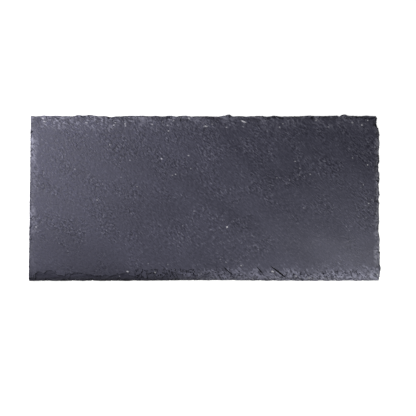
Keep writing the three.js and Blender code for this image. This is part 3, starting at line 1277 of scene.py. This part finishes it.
def add_bump(tree, shader, height, distance, strength=1):
    """Bump of that distance, in millimetres."""
    inputs = {"Strength": strength, "Distance": distance * MM, "Height": height}
    bump = new_node(tree, "ShaderNodeBump", inputs)
    tree.links.new(bump.outputs[0], shader.inputs["Normal"])


def riven_material(colours, groups):
    """The split face: dark scaly slate with paler glints, partly painted, broad painted shade and
    painted light, and scattered pale specks and flecks.
    """
    material, tree, shader = new_material("riven slate")
    grain = use_group(tree, groups["grain"])
    tone = weighted_sum(tree, (grain["Scales"], 1 - CLOUD_SHARE), (grain["Clouds"], CLOUD_SHARE))
    colour = blend(tree, tone, colours.deep, colours.slate)
    # Pale glints: partly paler scales, partly painted glints of the sheen
    colour = blend(tree, times(tree, grain["Glints"], GLINT_SHARE), colour, colours.worn_and_sheen)
    # Painted shade and painted light over broad areas of the face
    colour = blend(tree, add_spots(tree, PAINTED_SHADE_AREAS, AREA_CORE), colour, colours.deep)
    colour = blend(tree, add_spots(tree, PAINTED_LIGHT_AREAS, AREA_CORE), colour, colours.worn_and_sheen)
    height = weighted_sum(tree, (grain["Scales"], 1 - GLINT_HEIGHT), (grain["Glints"], GLINT_HEIGHT))
    trimmed = use_group(tree, groups["margins"], {"Colour": colour, "Height": height})
    flecks = use_group(tree, groups["flecks"], FACE_FLECKS)["Mask"]
    patchy = fade(tree, grain["Patches"], *TONE_SPAN, 0, FACE_FLECK_SHARE)
    specks = add_spots(tree, (*SPECKS, *strewn_specks()), SPECK_CORE)
    pale = maths(tree, "MAXIMUM", times(tree, flecks, patchy), specks)
    colour = blend(tree, pale, trimmed["Colour"], colours.fleck)
    tree.links.new(colour, shader.inputs["Base Color"])
    tree.links.new(fade(tree, tone, *TONE_SPAN, *FACE_ROUGHNESS), shader.inputs["Roughness"])
    add_bump(tree, shader, trimmed["Height"], FACE_BUMP)
    return material


def broken_material(colours, groups):
    """Flake scars and trimmed walls: thin beds and pale crushed edges."""
    material, tree, shader = new_material("broken slate")
    grain = use_group(tree, groups["grain"])
    beds = pattern_mask(tree, THIN_BEDS)
    tone = weighted_sum(tree, (beds, BED_SHARE), (grain["Scales"], 1 - BED_SHARE))
    colour = blend(tree, tone, colours.deep, colours.broken)
    trimmed = use_group(tree, groups["margins"], {"Colour": colour, "Height": tone})
    flecks = use_group(tree, groups["flecks"], BROKEN_FLECKS)["Mask"]
    specks = add_spots(tree, SPECKS, SPECK_CORE)
    pale = maths(tree, "MAXIMUM", times(tree, flecks, BROKEN_FLECK_SHARE), specks)
    colour = blend(tree, pale, trimmed["Colour"], colours.fleck)
    tree.links.new(colour, shader.inputs["Base Color"])
    tree.links.new(fade(tree, tone, *TONE_SPAN, *BROKEN_ROUGHNESS), shader.inputs["Roughness"])
    add_bump(tree, shader, trimmed["Height"], BROKEN_BUMP, BROKEN_BUMP_STRENGTH)
    return material


def crack_shade_material(colours, groups):
    """The inside of the cracks, near black with painted shade."""
    material, tree, shader = new_material("cracked slate")
    grain = use_group(tree, groups["grain"])
    colour = blend(tree, fade(tree, grain["Scales"], 0.5, 1), colours.crack, colours.deep)
    tree.links.new(colour, shader.inputs["Base Color"])
    shader.inputs["Roughness"].default_value = CRACK_ROUGHNESS
    return material


def floor_material(glow):
    """White to the camera, and darker to the light that it throws back on the slab."""
    material, tree, shader = new_material("floor white")
    shader.inputs["Base Color"].default_value = FLOOR_GREY
    shader.inputs["Roughness"].default_value = FLOOR_ROUGHNESS
    shader.inputs["Emission Color"].default_value = WHITE
    seen = new_node(tree, "ShaderNodeLightPath").outputs["Is Camera Ray"]
    tree.links.new(times(tree, seen, glow), shader.inputs["Emission Strength"])
    return material


# Operators

class SLATE_OT_model_slab(bpy.types.Operator):
    """Models the slate slab with its riven face, trimmed edges and flake scars"""

    bl_idname = "slate.model_slab"
    bl_label = "Model the slab"

    def execute(self, context):
        sizes = context.scene.slab_sizes
        colours = context.scene.slab_colours
        groups = {"grain": grain_group(), "flecks": fleck_group(), "margins": margin_group(colours)}
        riven = riven_material(colours, groups)
        broken = broken_material(colours, groups)
        crack_shade = crack_shade_material(colours, groups)
        slab = riven_sheet(sizes)
        slab.data.materials.append(riven)
        prism = trimmed_prism(sizes)
        prism.data.materials.append(broken)
        flakes = flake_cutters(sizes, broken, crack_shade)
        add_boolean(slab, "trim", "INTERSECT", operand=prism)
        add_boolean(slab, "flakes", "DIFFERENCE", collection=flakes)
        apply_modifiers(slab)
        bpy.data.objects.remove(prism)
        remove_helpers(flakes)
        keep_main_body(slab)
        centre_over_frame(slab)
        slab.name = "slate_slab"
        make_active(slab)
        bpy.ops.object.shade_smooth_by_angle(angle=SMOOTH_ANGLE)
        if not slab.data.polygons:
            raise RuntimeError("the flakes took the whole slab away")
        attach(slab, "root")
        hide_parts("slab")
        return {"FINISHED"}


class SLATE_OT_set_stage(bpy.types.Operator):
    """Adds the floor, the lamps and a camera that looks straight down on the slab"""

    bl_idname = "slate.set_stage"
    bl_label = "Set the stage"

    def execute(self, context):
        stage = context.scene.slab_stage
        start_clean()
        bpy.ops.mesh.primitive_plane_add(size=FLOOR_SIZE)
        floor = context.object
        floor.name = "floor"
        floor.data.materials.append(floor_material(stage.floor_glow))

        camera_data = bpy.data.cameras.new("camera")
        camera_data.sensor_width = SENSOR_WIDTH
        camera_data.lens = SENSOR_WIDTH * stage.camera_height / stage.frame_width
        camera = bpy.data.objects.new("camera", camera_data)
        level = context.scene.slab_sizes.thickness
        camera.location = (*CAMERA_STAND, level + stage.camera_height)
        context.scene.collection.objects.link(camera)
        context.scene.camera = camera

        for lamp, power in ((KEY_LAMP, stage.key_power), (FILL_LAMP, stage.fill_power)):
            light = bpy.data.lights.new(lamp.name, "AREA")
            light.shape = "SQUARE"
            light.size = lamp.size
            light.energy = power
            light.color = lamp.tint
            holder = bpy.data.objects.new(lamp.name, light)
            holder.location = lamp.place
            holder.rotation_euler = Vector(lamp.place).to_track_quat("Z", "Y").to_euler()
            holder.visible_camera = False
            context.scene.collection.objects.link(holder)

        world = bpy.data.worlds.new("room")
        world.use_nodes = True
        background = world.node_tree.nodes["Background"]
        background.inputs["Color"].default_value = WHITE
        seen = new_node(world.node_tree, "ShaderNodeLightPath").outputs["Is Camera Ray"]
        strength = maths(world.node_tree, "MAXIMUM", seen, stage.world_light)
        world.node_tree.links.new(strength, background.inputs["Strength"])
        context.scene.world = world
        context.scene.view_settings.view_transform = "Standard"
        return {"FINISHED"}


class VIEW3D_PT_slate_slab(bpy.types.Panel):
    """Lists the slab's operators and settings"""

    bl_label = "Slate Slab"
    bl_space_type = "VIEW_3D"
    bl_region_type = "UI"
    bl_category = "Slate"

    def draw(self, context):
        for operator in OPERATORS:
            self.layout.operator(operator.bl_idname)
        for group in (context.scene.slab_sizes, context.scene.slab_colours, context.scene.slab_stage):
            box = self.layout.box()
            for name in group.__annotations__:
                box.prop(group, name)


OPERATORS = (SLATE_OT_model_slab, SLATE_OT_set_stage)
CLASSES = (SlabSizes, SlabColours, StageSettings, *OPERATORS, VIEW3D_PT_slate_slab)


def register():
    for cls in CLASSES:
        bpy.utils.register_class(cls)
    bpy.types.Scene.slab_sizes = PointerProperty(type=SlabSizes)
    bpy.types.Scene.slab_colours = PointerProperty(type=SlabColours)
    bpy.types.Scene.slab_stage = PointerProperty(type=StageSettings)


def unregister():
    del bpy.types.Scene.slab_stage
    del bpy.types.Scene.slab_colours
    del bpy.types.Scene.slab_sizes
    for cls in reversed(CLASSES):
        bpy.utils.unregister_class(cls)


def main():
    register()
    bpy.ops.slate.model_slab()
    bpy.ops.slate.set_stage()


if __name__ == "__main__":
    main()
